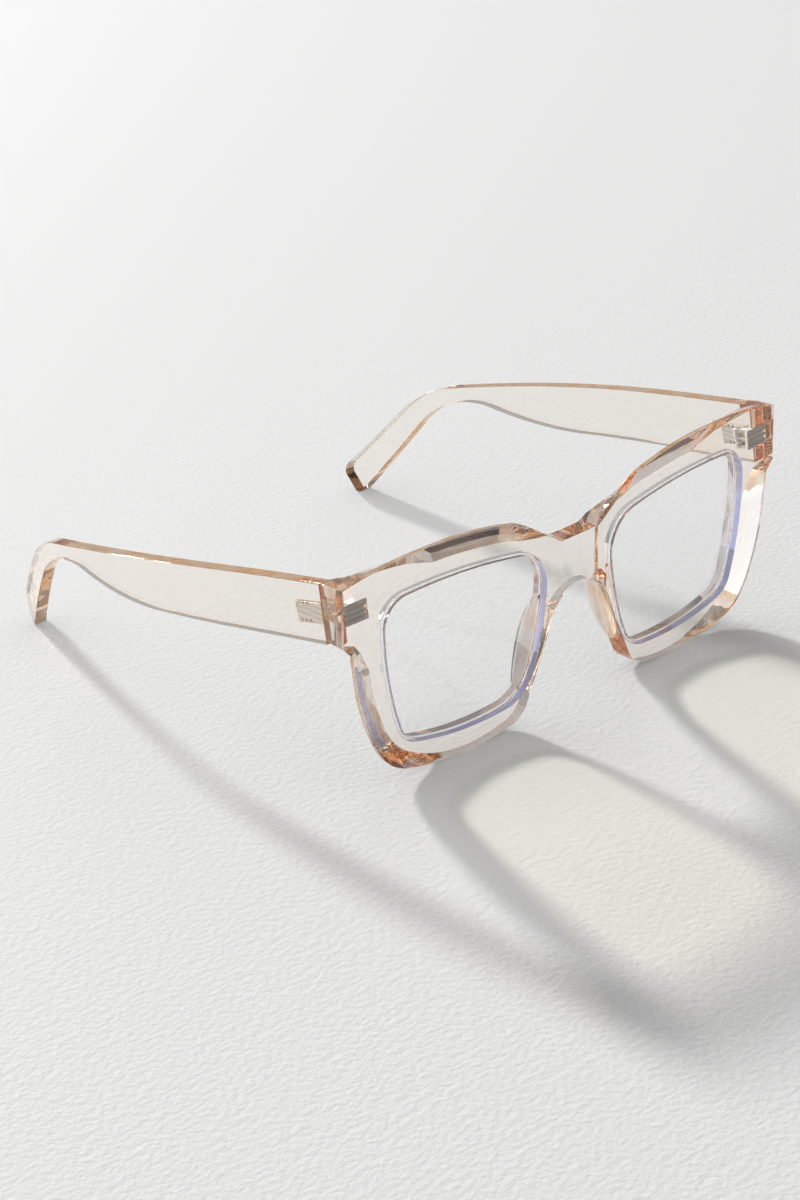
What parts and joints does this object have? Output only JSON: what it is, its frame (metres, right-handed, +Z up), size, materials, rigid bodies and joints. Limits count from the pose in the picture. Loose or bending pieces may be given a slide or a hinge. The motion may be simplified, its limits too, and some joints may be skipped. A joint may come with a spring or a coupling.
{
  "type": "spectacles",
  "caption": "Square full-rim spectacles in clear champagne plastic, with near-clear filter lenses, moulded nose pads and folding temples on barrel hinges.",
  "frame": {"origin": "on the floor, under the middle of the whole frame", "axes": "+X towards the wearer's left, +Y from the front towards the temple tips, +Z up; the frame stands on its rims and temple tips, as worn spectacles stand on a table"},
  "size_m": [0.1484, 0.1446, 0.0561],
  "materials": {
    "champagne_front": "polished, clear",
    "champagne_temple": "polished, clear",
    "lens": "clear with a blue-violet coating",
    "hinge_metal": "satin",
    "screw_metal": "polished"
  },
  "bodies": {
    "front": {"front_frame": "champagne_front", "lens_left": "lens", "lens_right": "lens", "hinge_front_left": "hinge_metal", "hinge_front_right": "hinge_metal", "hinge_screw_left": "screw_metal", "hinge_screw_right": "screw_metal"},
    "arm_left": {"temple_left": "champagne_temple", "hinge_temple_left": "hinge_metal"},
    "arm_right": {"temple_right": "champagne_temple", "hinge_temple_right": "hinge_metal"}
  },
  "joints": [
    {"name": "fold_left", "type": "hinge", "parent": "front", "child": "arm_left", "pos_m": [0.06676, -0.05989, 0.04511], "axis": [0, 0.1865, 0.9825], "range_deg": [0, 86]},
    {"name": "fold_right", "type": "hinge", "parent": "front", "child": "arm_right", "pos_m": [-0.06676, -0.05989, 0.04511], "axis": [0, -0.1865, -0.9825], "range_deg": [0, 70]}
  ]
}
